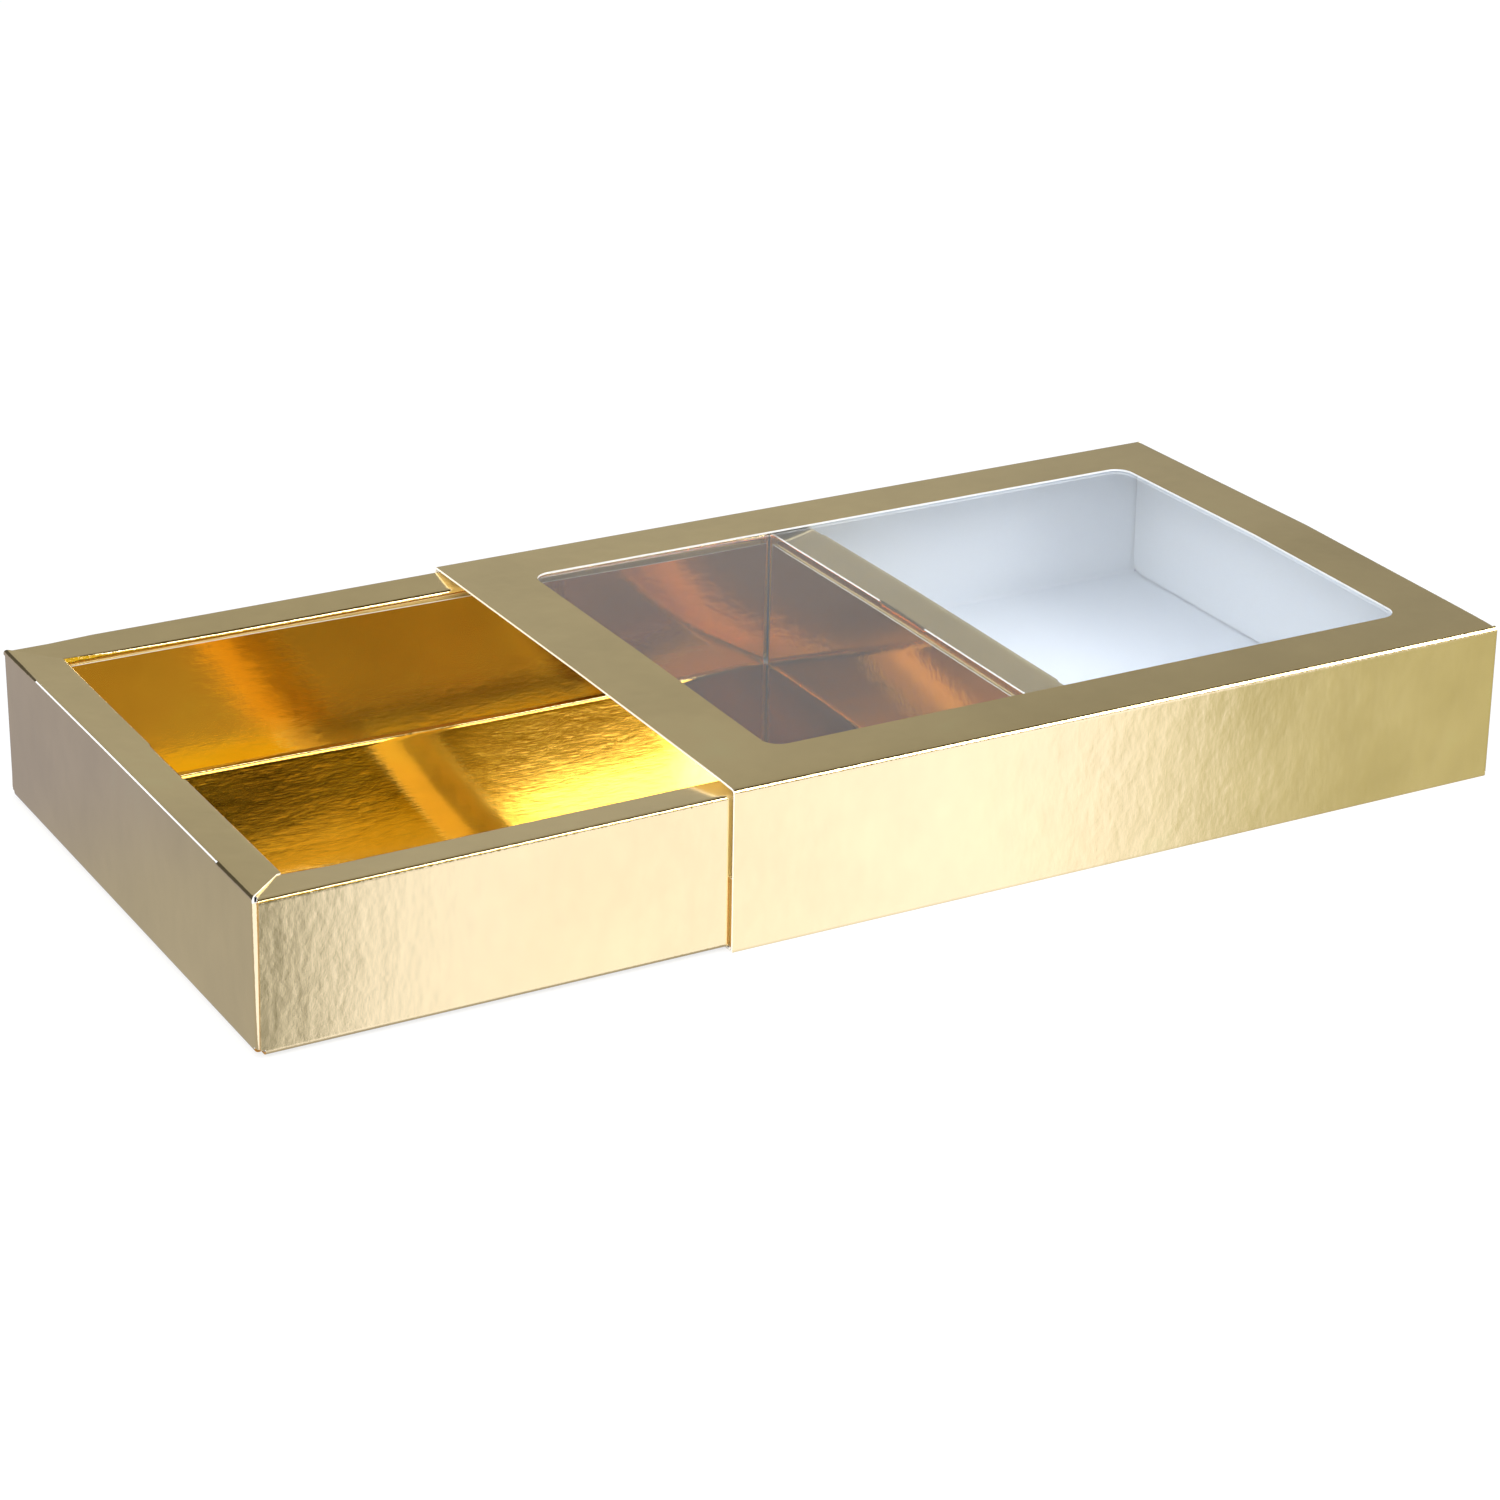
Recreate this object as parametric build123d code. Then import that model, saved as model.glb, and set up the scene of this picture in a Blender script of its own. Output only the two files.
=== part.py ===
"""A sliding chocolate box in gold foil board: a windowed sleeve closed at its right end,
and a tray with hollow walls that pulls out of the sleeve's mouth on the left.

X runs along the slide, Y across it, Z up. The origin is the centre of the resting box's underside.
The near side is at -Y and the far side at +Y.
"""
from build123d import *
import os

# Board, film and glue
board = 0.4
layer_gap = 0.1
fold_radius = 0.6
film_thickness = 0.15

# Sleeve. Its height takes in the slight crown of the top panel
sleeve_length = 161.4
sleeve_width = 117.0
sleeve_height = 30.5
seam_flap_height = 13.5
dust_flap_length = 28.0
dust_flap_corner = 4.0
end_flap_corner = 2.0
end_flap_gap = 0.6

# Window in the sleeve's top panel
window_end_border = 14.0
window_side_border = 12.7
window_corner = 3.5
film_overlap = 8.0
film_corner = 2.0
film_glue_inset = 2.0

# Tray, and how far it is pulled out at rest
tray_length = 161.4
tray_drop = 1.3
slide_gap = 0.25
pull_out = 85.6
ledge_width = 8.4
foot_width = 5.0
corner_flap_length = 21.0
mitre_setback = 0.5
floor_lift = 0.1

# Liner that stands in the tray's well
liner_play = 0.15
liner_rim_drop = 2.7

# Glue patches keep this far from the edges of the flaps that they hold
glue_margin = 4.0

# Where the sleeve stands
total_length = sleeve_length + pull_out
end_x = total_length / 2
mouth_x = end_x - sleeve_length
near_y = -sleeve_width / 2
far_y = sleeve_width / 2
half_board = board / 2
pitch = board + layer_gap
outer_fold = fold_radius + half_board

# Layers of the closed end, counted inwards from the outside
outer_flap_x = end_x - half_board
dust_flap_x = outer_flap_x - pitch
inner_flap_x = dust_flap_x - pitch
tube_end_x = inner_flap_x + half_board

# Where the tray stands
tray_left = -total_length / 2
tray_right = tray_left + tray_length
tray_near = near_y + board + pitch + slide_gap
tray_far = far_y - board - slide_gap
tray_base = board + floor_lift
tray_top = sleeve_height - tray_drop
end_ledge_z = tray_top - half_board
long_ledge_z = end_ledge_z - pitch
tray_floor_z = tray_base + half_board
tray_floor_top = tray_base + board
foot_z = tray_floor_top + layer_gap + half_board


def folded(*points):
    """Section of one strip of board folded through these points, which lie on its middle line."""
    return trace(FilletPolyline(*points, radius=fold_radius), board)


def along_x(section, start, end):
    """Run a section drawn in Y and Z from start to end along X."""
    return extrude(Plane.YZ.offset(start) * section, end - start, dir=(1, 0, 0))


def along_y(section, start, end):
    """Run a section drawn in X and Z from start to end along Y."""
    return extrude(Plane.XZ.offset(-start) * section, end - start, dir=(0, 1, 0))


def along_z(section, start, end):
    """Run a plan drawn in X and Y from start to end along Z."""
    return extrude(Plane.XY.offset(start) * section, end - start, dir=(0, 0, 1))


def block(x0, x1, y0, y1, z0, z1):
    """A plain block between two corners."""
    return Pos(x0, y0, z0) * Box(x1 - x0, y1 - y0, z1 - z0, align=(Align.MIN, Align.MIN, Align.MIN))


def rounded_plan(x0, x1, y0, y1, radius):
    """Plan of a rectangle with rounded corners."""
    return Pos((x0 + x1) / 2, (y0 + y1) / 2) * RectangleRounded(x1 - x0, y1 - y0, radius)


def window_plan(grow, radius):
    """Plan of the window, grown by this much on every side."""
    return rounded_plan(
        mouth_x + window_end_border - grow,
        end_x - window_end_border + grow,
        near_y + window_side_border - grow,
        far_y - window_side_border + grow,
        radius,
    )


def sleeve_tube():
    """Near wall, top panel, far wall, floor and seam flap, folded from one strip, with its window."""
    wall_near = near_y + half_board
    wall_far = far_y - half_board
    top_z = sleeve_height - half_board
    seam_y = wall_near + pitch
    section = folded(
        (wall_near, 0),
        (wall_near, top_z),
        (wall_far, top_z),
        (wall_far, half_board),
        (seam_y, half_board),
        (seam_y, seam_flap_height),
    )
    tube = along_x(section, mouth_x, tube_end_x)
    window = along_z(window_plan(0, window_corner), sleeve_height - 2 * board, sleeve_height + board)
    return tube - window


def inner_end_flap(low_y, high_y):
    """Flap folded down from the top panel, the innermost layer of the closed end."""
    top_z = sleeve_height - half_board
    section = folded(
        (inner_flap_x - 2 * fold_radius, top_z),
        (inner_flap_x, top_z),
        (inner_flap_x, board + end_flap_gap / 2),
    )
    flap = along_y(section, low_y, high_y)
    lower_corners = flap.edges().filter_by(Axis.X).group_by(Axis.Z)[0]
    return fillet(lower_corners, end_flap_corner)


def dust_flap(side):
    """Flap folded in from a side wall. side is -1 at the near wall and 1 at the far wall."""
    wall_y = side * (far_y - half_board)
    plan = folded(
        (dust_flap_x - 2 * fold_radius, wall_y),
        (dust_flap_x, wall_y),
        (dust_flap_x, wall_y - side * dust_flap_length),
    )
    flap = along_z(plan, outer_fold, sleeve_height - outer_fold)
    tip = flap.edges().filter_by(Axis.X).group_by(Axis.Y)[0 if side > 0 else -1]
    return chamfer(tip, dust_flap_corner)


def outer_end_flap(low_y, high_y):
    """Flap folded up from the floor over the outside of the closed end."""
    section = folded(
        (outer_flap_x - 2 * fold_radius, half_board),
        (outer_flap_x, half_board),
        (outer_flap_x, sleeve_height - outer_fold),
    )
    return along_y(section, low_y, high_y)


def sleeve_carton():
    """The whole sleeve, one folded blank: tube, window and the flaps of its closed end."""
    flap_near = near_y + board + pitch + end_flap_gap
    flap_far = far_y - board - end_flap_gap
    tube = sleeve_tube()
    relief_x = tube_end_x - outer_fold
    above = sleeve_height - outer_fold
    tube -= block(relief_x, end_x, flap_near, flap_far, above, sleeve_height + board)
    tube -= block(relief_x, end_x, near_y - board, near_y + board, outer_fold, above)
    tube -= block(relief_x, end_x, far_y - board, far_y + board, outer_fold, above)
    carton = tube + inner_end_flap(flap_near, flap_far)
    carton += dust_flap(-1)
    carton += dust_flap(1)
    carton += outer_end_flap(flap_near, far_y - outer_fold)
    return carton


def window_film():
    """Clear film behind the window."""
    top = sleeve_height - board - layer_gap
    return along_z(window_plan(film_overlap, film_corner), top - film_thickness, top)


def window_film_glue():
    """Frame of glue between the film and the inside of the top panel."""
    ring = window_plan(film_overlap - film_glue_inset, film_corner)
    ring -= window_plan(film_glue_inset, window_corner)
    return along_z(ring, sleeve_height - pitch, sleeve_height - board)


def sleeve_seam_glue():
    """Line of glue between the seam flap and the near wall."""
    inside = near_y + board
    return block(
        mouth_x + glue_margin,
        tube_end_x - glue_margin,
        inside,
        inside + layer_gap,
        outer_fold + half_board,
        seam_flap_height - half_board,
    )


def sleeve_end_glue():
    """Four glue patches of the closed end, one on each face of both dust flaps."""
    patches = []
    outer_gap_x = dust_flap_x + half_board
    inner_gap_x = inner_flap_x + half_board
    for gap_x in (inner_gap_x, outer_gap_x):
        for side in (-1, 1):
            root = side * (far_y - outer_fold - glue_margin)
            tip = side * (far_y - dust_flap_length + glue_margin)
            patches.append(
                block(
                    gap_x,
                    gap_x + layer_gap,
                    min(root, tip),
                    max(root, tip),
                    dust_flap_corner + glue_margin,
                    sleeve_height - dust_flap_corner - glue_margin,
                )
            )
    return Compound(children=patches)


def tray_long_sides():
    """Floor, long outer walls, long ledges, long inner walls and their feet."""
    wall_near = tray_near + half_board
    wall_far = tray_far - half_board
    inner_near = tray_near + ledge_width - half_board
    inner_far = tray_far - ledge_width + half_board
    full = folded(
        (inner_near - foot_width, foot_z),
        (inner_near, foot_z),
        (inner_near, long_ledge_z),
        (wall_near, long_ledge_z),
        (wall_near, tray_floor_z),
        (wall_far, tray_floor_z),
        (wall_far, long_ledge_z),
        (inner_far, long_ledge_z),
        (inner_far, foot_z),
        (inner_far + foot_width, foot_z),
    )
    under_end_ledges = folded(
        (inner_near, long_ledge_z),
        (wall_near, long_ledge_z),
        (wall_near, tray_floor_z),
        (wall_far, tray_floor_z),
        (wall_far, long_ledge_z),
        (inner_far, long_ledge_z),
    )
    cut_edge = outer_fold + layer_gap
    well_edge = ledge_width + layer_gap
    sides = along_x(full, tray_left + well_edge, tray_right - well_edge)
    sides += along_x(under_end_ledges, tray_left + cut_edge, tray_left + well_edge)
    sides += along_x(under_end_ledges, tray_right - well_edge, tray_right - cut_edge)
    return sides


def tray_end(side):
    """End wall with its mitred ledge, inner wall, foot and two corner flaps. side is -1 left, 1 right."""
    outside = tray_left if side < 0 else tray_right
    wall = outside - side * half_board
    inner = outside - side * (ledge_width - half_board)
    section = folded(
        (wall - side * 2 * outer_fold, tray_floor_z),
        (wall, tray_floor_z),
        (wall, end_ledge_z),
        (inner, end_ledge_z),
        (inner, foot_z),
        (inner + side * foot_width, foot_z),
    )
    panel = along_y(section, tray_near, tray_far)
    well = outside - side * ledge_width
    mitre = Polygon(
        (outside, tray_near + mitre_setback),
        (outside, tray_far - mitre_setback),
        (well, tray_far - mitre_setback - ledge_width),
        (well, tray_near + mitre_setback + ledge_width),
        align=None,
    )
    panel = panel & along_z(mitre, 0, sleeve_height)
    flap_y = pitch + half_board
    corner_top = long_ledge_z - half_board - layer_gap
    corner = flap_y - half_board + outer_fold
    reach = 2 * outer_fold
    low_x, high_x = sorted((outside, outside - side * reach))
    panel -= block(low_x, high_x, tray_near, tray_near + corner, 0, corner_top)
    panel -= block(low_x, high_x, tray_far - corner, tray_far, 0, corner_top)
    flap_end = outside - side * corner_flap_length
    plan = folded(
        (flap_end, tray_near + flap_y),
        (wall, tray_near + flap_y),
        (wall, tray_far - flap_y),
        (flap_end, tray_far - flap_y),
    )
    return panel + along_z(plan, tray_base + outer_fold, corner_top)


def tray_carton():
    """The whole tray, one folded blank with hollow walls."""
    return tray_long_sides() + tray_end(-1) + tray_end(1)


def tray_corner_glue():
    """Four glue patches between the corner flaps and the long outer walls."""
    patches = []
    flap_low = tray_base + outer_fold + glue_margin
    flap_high = long_ledge_z - glue_margin
    for outside, side in ((tray_left, -1), (tray_right, 1)):
        root = outside - side * (outer_fold + glue_margin)
        tip = outside - side * (corner_flap_length - glue_margin)
        low_x, high_x = sorted((root, tip))
        for gap_y in (tray_near + board, tray_far - pitch):
            patches.append(block(low_x, high_x, gap_y, gap_y + layer_gap, flap_low, flap_high))
    return Compound(children=patches)


def tray_foot_glue():
    """Four lines of glue under the feet of the inner walls."""
    outer = ledge_width - foot_width
    inner = ledge_width - outer_fold
    away = ledge_width + glue_margin
    long_low, long_high = tray_left + away, tray_right - away
    end_low, end_high = tray_near + away, tray_far - away
    base = tray_floor_top
    lid = tray_floor_top + layer_gap
    lines = [
        block(long_low, long_high, tray_near + outer, tray_near + inner, base, lid),
        block(long_low, long_high, tray_far - inner, tray_far - outer, base, lid),
        block(tray_left + outer, tray_left + inner, end_low, end_high, base, lid),
        block(tray_right - inner, tray_right - outer, end_low, end_high, base, lid),
    ]
    return Compound(children=lines)


def liner_carton():
    """Floor and four walls of the liner, one folded blank that stands on the tray's floor."""
    edge = ledge_width + liner_play
    left = tray_left + edge + half_board
    right = tray_right - edge - half_board
    near = tray_near + edge + half_board
    far = tray_far - edge - half_board
    floor_z = tray_floor_top + half_board
    rim = tray_top - liner_rim_drop
    long_walls = folded((near, rim), (near, floor_z), (far, floor_z), (far, rim))
    end_walls = folded((left, rim), (left, floor_z), (right, floor_z), (right, rim))
    inset = fold_radius + layer_gap
    return along_x(long_walls, left + inset, right - inset) + along_y(end_walls, near + inset, far - inset)


nodes = {
    "sleeve_carton": sleeve_carton,
    "window_film": window_film,
    "window_film_glue": window_film_glue,
    "sleeve_seam_glue": sleeve_seam_glue,
    "sleeve_end_glue": sleeve_end_glue,
    "tray_carton": tray_carton,
    "tray_corner_glue": tray_corner_glue,
    "tray_foot_glue": tray_foot_glue,
    "liner_carton": liner_carton,
}

os.makedirs("parts", exist_ok=True)
for name, make in nodes.items():
    export_step(make(), f"parts/{name}.step")
    print("wrote", name)
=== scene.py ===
# %% [markdown]
# A sliding chocolate box in gold foil board. It is two folded cartons: a sleeve with a window, closed at
# its right end, and a tray with hollow walls that is pulled out of the sleeve's mouth on the left. A loose
# gold liner stands in the tray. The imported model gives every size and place. What the folded board really
# looks like, with thin cut edges, soft folds and a slightly crowned top panel, is modelled here.

# %% The fixed frame
import math
import bmesh
import bpy
from mathutils import Matrix, Vector


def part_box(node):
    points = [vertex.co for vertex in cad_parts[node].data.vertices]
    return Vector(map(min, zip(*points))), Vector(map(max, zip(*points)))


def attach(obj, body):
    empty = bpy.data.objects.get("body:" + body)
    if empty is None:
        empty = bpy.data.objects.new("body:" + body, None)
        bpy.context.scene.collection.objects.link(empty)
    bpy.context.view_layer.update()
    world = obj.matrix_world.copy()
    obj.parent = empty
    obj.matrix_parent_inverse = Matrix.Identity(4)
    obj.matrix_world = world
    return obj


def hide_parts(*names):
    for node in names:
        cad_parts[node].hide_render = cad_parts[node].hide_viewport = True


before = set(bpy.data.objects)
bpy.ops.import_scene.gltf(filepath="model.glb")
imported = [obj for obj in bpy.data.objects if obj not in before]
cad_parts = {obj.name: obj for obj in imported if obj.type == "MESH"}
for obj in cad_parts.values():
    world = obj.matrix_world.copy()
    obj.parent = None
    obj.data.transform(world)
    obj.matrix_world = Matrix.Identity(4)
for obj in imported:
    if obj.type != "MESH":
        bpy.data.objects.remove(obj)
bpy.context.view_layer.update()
mm = 0.001

# %% [markdown]
# A carton is one sheet of board 0.4 mm thick that never gets thicker or thinner, so its shape is all in
# one surface: the printed side. Each carton is drawn as that surface alone, in millimetres, in the place
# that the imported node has. Thickness, the white back and the white cut edges follow from it later.

# %% Where the cartons stand, in millimetres
board = 0.4
layer_gap = 0.1
wall_height = 30.0


def box_mm(node):
    """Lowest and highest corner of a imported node, in millimetres."""
    low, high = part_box(node)
    return low / mm, high / mm


sleeve_low, sleeve_high = box_mm("sleeve_carton")
tray_low, tray_high = box_mm("tray_carton")
liner_low, liner_high = box_mm("liner_carton")
film_low, film_high = box_mm("window_film")
print("sleeve", sleeve_low, sleeve_high)
print("tray", tray_low, tray_high)

# %% [markdown]
# One tool makes nearly everything: a strip. A few points give the section of the folded sheet, the edges
# between them are extruded along the run, and the edges that lie on a fold are bevelled round. Beside each
# fold stands a holding line, so that the shading of the curve ends there and the panel stays flat. The
# bend itself gets a material of its own, creased foil: number 3 in each carton's list, counted from 0.

# %% Tools for sheets of board
fold = 0.8
hold = 0.3
crease_skin = 3
AXES = {"X": 0, "Y": 1, "Z": 2}


def at(value, place):
    """Whether a value is the same as a place, to a thousandth of a millimetre."""
    return abs(value - place) < 1e-3


def unit(axis, size=1.0):
    """A vector of this size along one axis."""
    vector = Vector((0, 0, 0))
    vector[AXES[axis]] = size
    return vector


def held(points, folds):
    """The section's points with a holding point on each side of every fold, and the folds' new indices."""
    made, places = [], []
    for index, point in enumerate(points):
        here = Vector(point)
        if index not in folds:
            made.append(here)
            continue
        before = Vector(points[index - 1]) - here
        after = Vector(points[index + 1]) - here
        if before.length > fold + 2 * hold:
            made.append(here + before.normalized() * (fold + hold))
        places.append(len(made))
        made.append(here)
        made.append(here + after.normalized() * (fold + hold))
    return made, places


def round_folds(bm, edges, size=fold, segments=6):
    """Bend the board round along these edges, and give the bend the skin of creased foil."""
    bent = bmesh.ops.bevel(
        bm, geom=edges, offset=size, offset_type="OFFSET", segments=segments, profile=0.5,
        affect="EDGES", clamp_overlap=False, material=-1,
    )
    for face in bent["faces"]:
        face.material_index = crease_skin


def rectangle(x, y, z):
    """One flat face at this height, between two places along X and two along Y."""
    bm = bmesh.new()
    bmesh.ops.create_grid(bm, x_segments=1, y_segments=1, size=0.5)
    bmesh.ops.scale(bm, vec=(x[1] - x[0], y[1] - y[0], 1), verts=bm.verts)
    bmesh.ops.translate(bm, verts=bm.verts, vec=(sum(x) / 2, sum(y) / 2, z))
    return bm


def strip(points, run, low, high, folds, size=fold):
    """A folded sheet: a section in the two other axes, run along one axis from low to high."""
    bm = bmesh.new()
    line, places = held(points, folds)
    verts = []
    for point in line:
        if run == "X":
            verts.append(bm.verts.new((low, point[0], point[1])))
        else:
            verts.append(bm.verts.new((point[0], low, point[1])))
    edges = [bm.edges.new(pair) for pair in zip(verts, verts[1:])]
    grown = bmesh.ops.extrude_edge_only(bm, edges=edges)["geom"]
    ends = [item for item in grown if isinstance(item, bmesh.types.BMVert)]
    bmesh.ops.translate(bm, verts=ends, vec=unit(run, high - low))
    creases = [
        edge for edge in bm.edges
        if sum(vert in edge.verts for vert in (verts[place] for place in places)) == 1
        and abs((edge.verts[1].co - edge.verts[0].co)[AXES[run]]) > 1e-6
    ]
    round_folds(bm, creases, size)
    return bm


def cut(bm, point, normal, clear=False):
    """Cut the sheet along a plane, and take away what lies beyond it if clear is set."""
    geometry = bm.verts[:] + bm.edges[:] + bm.faces[:]
    bmesh.ops.bisect_plane(
        bm, geom=geometry, dist=1e-4, plane_co=point, plane_no=normal, clear_outer=clear,
    )


def cut_at(bm, axis, places):
    """Cut the sheet across one axis at each of these places."""
    for place in places:
        cut(bm, unit(axis, place), unit(axis))


def spread(low, high, count):
    """Evenly spaced places from low to high, both ends among them."""
    return [low + (high - low) * step / count for step in range(count + 1)]


def remove(bm, test):
    """Take away the faces whose centre passes a test."""
    gone = [face for face in bm.faces if test(face.calc_center_median())]
    bmesh.ops.delete(bm, geom=gone, context="FACES")


def rim_edges(bm, test):
    """The open edges whose middle passes a test."""
    return [
        edge for edge in bm.edges
        if edge.is_boundary and test((edge.verts[0].co + edge.verts[1].co) / 2)
    ]


def grow(bm, edges, *moves):
    """Extrude a row of edges by each move in turn. Gives all the rows, the first one included."""
    rows = [edges]
    for move in moves:
        made = bmesh.ops.extrude_edge_only(bm, edges=rows[-1])["geom"]
        verts = [item for item in made if isinstance(item, bmesh.types.BMVert)]
        bmesh.ops.translate(bm, verts=verts, vec=move)
        fresh = set(verts)
        rows.append([
            item for item in made
            if isinstance(item, bmesh.types.BMEdge) and fresh.issuperset(item.verts)
        ])
    return rows


def join(bm, other):
    """Add another sheet to this one and weld where they meet."""
    mesh = bpy.data.meshes.new("joined")
    other.to_mesh(mesh)
    other.free()
    bm.from_mesh(mesh)
    bpy.data.meshes.remove(mesh)
    bmesh.ops.remove_doubles(bm, verts=bm.verts, dist=0.005)


def face_out(bm, test, direction):
    """Make all faces agree, with the face that passes the test looking along a direction."""
    bmesh.ops.recalc_face_normals(bm, faces=bm.faces)
    sample = next(face for face in bm.faces if test(face.calc_center_median()))
    if sample.normal.dot(direction) < 0:
        bmesh.ops.reverse_faces(bm, faces=bm.faces)


# %% [markdown]
# Folded board isn't drawn flat and square in the end: panels bow a little and walls lean. Each carton
# gets one smooth function that moves its points by some tenths of a millimetre, and the liner's far wall
# by up to two. After that the Solidify modifier gives the sheet its thickness. It paints the back with
# the next material in the list and the cut edges with the one after it, which is just how a board with
# foil on one side looks. So a carton's list runs gold, white back, cut edge, and from number 3 creased
# gold, white back, cut edge. A last material may follow: a painted orange-brown shade for cut edges in
# narrow gaps.

# %% From a sheet to a piece
sharp_angle = math.radians(35)


def bend(bm, shift):
    """Move every point by what shift gives for it."""
    for vert in bm.verts:
        vert.co += shift(vert.co.copy())


def laid_out(name, bm, skins):
    """Put a sheet into the scene with these materials."""
    mesh = bpy.data.meshes.new(name)
    bm.to_mesh(mesh)
    bm.free()
    for skin in skins:
        mesh.materials.append(skin)
    made = bpy.data.objects.new(name, mesh)
    bpy.context.scene.collection.objects.link(made)
    return made


def piece(name, bm, skins, body, nodes, thickness=board):
    """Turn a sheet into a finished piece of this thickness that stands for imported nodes."""
    bmesh.ops.scale(bm, vec=(mm, mm, mm), verts=bm.verts)
    made = laid_out(name, bm, skins)
    sheet = made.data
    wall = made.modifiers.new("thickness", "SOLIDIFY")
    wall.thickness = thickness * mm
    wall.offset = -1
    wall.use_even_offset = True
    wall.use_quality_normals = True
    wall.material_offset = 1
    wall.material_offset_rim = 2
    with_wall = made.evaluated_get(bpy.context.evaluated_depsgraph_get())
    shape = bpy.data.meshes.new_from_object(with_wall)
    made.modifiers.clear()
    made.data = shape
    bpy.data.meshes.remove(sheet)
    shape.name = name
    shape.polygons.foreach_set("use_smooth", [True] * len(shape.polygons))
    shape.set_sharp_from_angle(angle=sharp_angle)
    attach(made, body)
    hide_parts(*nodes)
    print(name, len(shape.polygons), "faces", [round(v / mm, 1) for v in made.dimensions])
    return made


# %% [markdown]
# Materials are built from nodes, and short makers keep that readable. An effect that more than one material
# uses is a node group, built once. It puts out a colour, a gloss or a height that changes over the surface,
# and the Principled shader, which takes them, stays in each material.

# %% Makers for nodes
def makers(tree):
    """Short makers for the nodes of a tree: maths, the product of two values, and a smooth band."""
    def calc(kind, first, second=0.0):
        node = tree.nodes.new("ShaderNodeMath")
        node.operation = kind
        for socket, value in zip(node.inputs, (first, second)):
            if isinstance(value, (int, float)):
                socket.default_value = value
            else:
                tree.links.new(value, socket)
        return node.outputs[0]

    def both(first, second):
        return calc("MULTIPLY", first, second)

    def ramp(value, low, high, start=0.0, end=1.0):
        node = tree.nodes.new("ShaderNodeMapRange")
        node.interpolation_type = "SMOOTHSTEP"
        tree.links.new(value, node.inputs["Value"])
        node.inputs["From Min"].default_value = low
        node.inputs["From Max"].default_value = high
        node.inputs["To Min"].default_value = start
        node.inputs["To Max"].default_value = end
        return node.outputs["Result"]

    return calc, both, ramp


def blend(tree, share, first, second):
    """A mix of two shaders, with this share of the second."""
    node = tree.nodes.new("ShaderNodeMixShader")
    if isinstance(share, float):
        node.inputs["Fac"].default_value = share
    else:
        tree.links.new(share, node.inputs["Fac"])
    tree.links.new(first, node.inputs[1])
    tree.links.new(second, node.inputs[2])
    return node.outputs["Shader"]


def shaded(tree, color, shade):
    """A colour made darker or lighter by a factor."""
    mix = tree.nodes.new("ShaderNodeMix")
    mix.data_type = "RGBA"
    mix.blend_type = "MULTIPLY"
    mix.inputs["Factor"].default_value = 1.0
    tree.links.new(color, mix.inputs["A"])
    tree.links.new(shade, mix.inputs["B"])
    return mix.outputs["Result"]


def noise_over(tree, place, scale, detail):
    """A noise of this scale, in features per metre."""
    texture = tree.nodes.new("ShaderNodeTexNoise")
    texture.inputs["Scale"].default_value = scale
    texture.inputs["Detail"].default_value = detail
    tree.links.new(place, texture.inputs["Vector"])
    return texture.outputs["Fac"]


def new_material(name):
    """A new material and its node tree."""
    material = bpy.data.materials.new(name)
    material.use_nodes = True
    return material, material.node_tree


# %% Makers for node groups and the materials that use them
def new_group(name, inputs, outputs):
    """An empty node group. Gives its tree, what comes in, what goes out, and the place on the piece."""
    tree = bpy.data.node_groups.new(name, "ShaderNodeTree")
    for way, sockets in (("INPUT", inputs), ("OUTPUT", outputs)):
        for socket, kind in sockets.items():
            tree.interface.new_socket(name=socket, in_out=way, socket_type="NodeSocket" + kind)
    into = tree.nodes.new("NodeGroupInput")
    out = tree.nodes.new("NodeGroupOutput")
    place = tree.nodes.new("ShaderNodeTexCoord")
    return tree, into.outputs, out.inputs, place.outputs["Object"]


def surface(name, group, values, relief_height):
    """A material whose colour, gloss and relief come from a node group. Gives it and its shader."""
    material, tree = new_material(name)
    nodes, links = tree.nodes, tree.links
    shader = nodes["Principled BSDF"]
    effect = nodes.new("ShaderNodeGroup")
    effect.node_tree = group
    for socket, value in values.items():
        effect.inputs[socket].default_value = value
    relief = nodes.new("ShaderNodeBump")
    relief.inputs["Distance"].default_value = relief_height * mm
    targets = {
        "Color": shader.inputs["Base Color"], "Roughness": shader.inputs["Roughness"],
        "Height": relief.inputs["Height"],
    }
    for socket in effect.outputs:
        links.new(socket, targets[socket.name])
    links.new(relief.outputs["Normal"], shader.inputs["Normal"])
    return material, shader


# %% [markdown]
# The gold is a thin metallic film on paper. It mirrors the studio, but the paper's fibres show through as
# orange peel, broader buckles lie under them, and handling leaves fine scratches and dull patches. All foil
# shares one node group for this, and each material sets its own strengths.

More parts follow.
